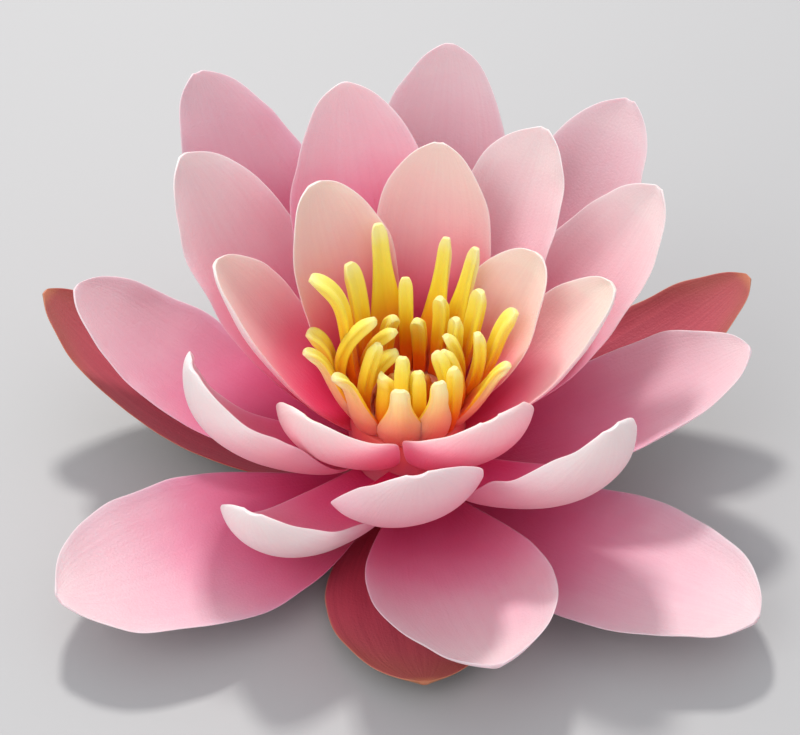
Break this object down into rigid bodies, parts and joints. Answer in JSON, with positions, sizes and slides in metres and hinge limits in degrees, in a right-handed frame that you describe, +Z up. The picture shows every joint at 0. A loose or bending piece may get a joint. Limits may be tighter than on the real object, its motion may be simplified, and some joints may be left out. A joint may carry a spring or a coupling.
{
  "type": "water lily flower",
  "caption": "Open pink water lily bloom with layered cupped petals, low sepals and a yellow stamen centre, cut off its stalk to lie on a surface or float.",
  "frame": {"origin": "middle of the flat cut face under the receptacle, where the stalk was cut off, on the surface the bloom rests on", "axes": "+Z up through the middle of the bloom, -Y towards the bloom's front, +X to its right"},
  "size_m": [0.1396, 0.1304, 0.0669],
  "materials": {
    "receptacle": "fleshy plant tissue, pink on top and pale green-brown at the cut",
    "sepal": "brick red inside with lighter orange margins, olive-bronze outside",
    "petal_outer": "satin, pale pink with fine lengthwise veins, deeper at the base",
    "petal_middle": "satin, pink with a magenta base and a pale rim",
    "petal_inner": "satin, coral pink base fading to a pale peach tip",
    "stamen": "satin, yellow with orange bases and cream tips",
    "stigma": "satin, deep orange"
  },
  "bodies": {
    "root": {"receptacle": "receptacle", "sepal_left": "sepal", "sepal_right": "sepal", "sepal_front": "sepal", "sepal_back": "sepal", "petal_outer_front_left": "petal_outer", "petal_outer_front_right": "petal_outer", "petal_outer_front": "petal_outer", "petal_outer_left": "petal_outer", "petal_outer_right": "petal_outer", "petal_outer_back_right": "petal_outer", "petal_outer_back_left": "petal_outer", "petal_outer_back": "petal_outer", "petal_middle_back_left": "petal_middle", "petal_middle_right": "petal_middle", "petal_middle_front_right": "petal_middle", "petal_middle_front_left": "petal_middle", "petal_middle_back": "petal_middle", "petal_middle_back_right": "petal_middle", "petal_middle_front": "petal_middle", "petal_middle_left": "petal_middle", "petal_inner_left": "petal_inner", "petal_inner_back_right": "petal_inner", "petal_inner_front_right": "petal_inner", "petal_inner_front_left": "petal_inner", "petal_inner_front": "petal_inner", "petal_inner_back_left": "petal_inner", "petal_inner_right": "petal_inner", "stamens": "stamen", "stigma": "stigma"}
  },
  "joints": []
}
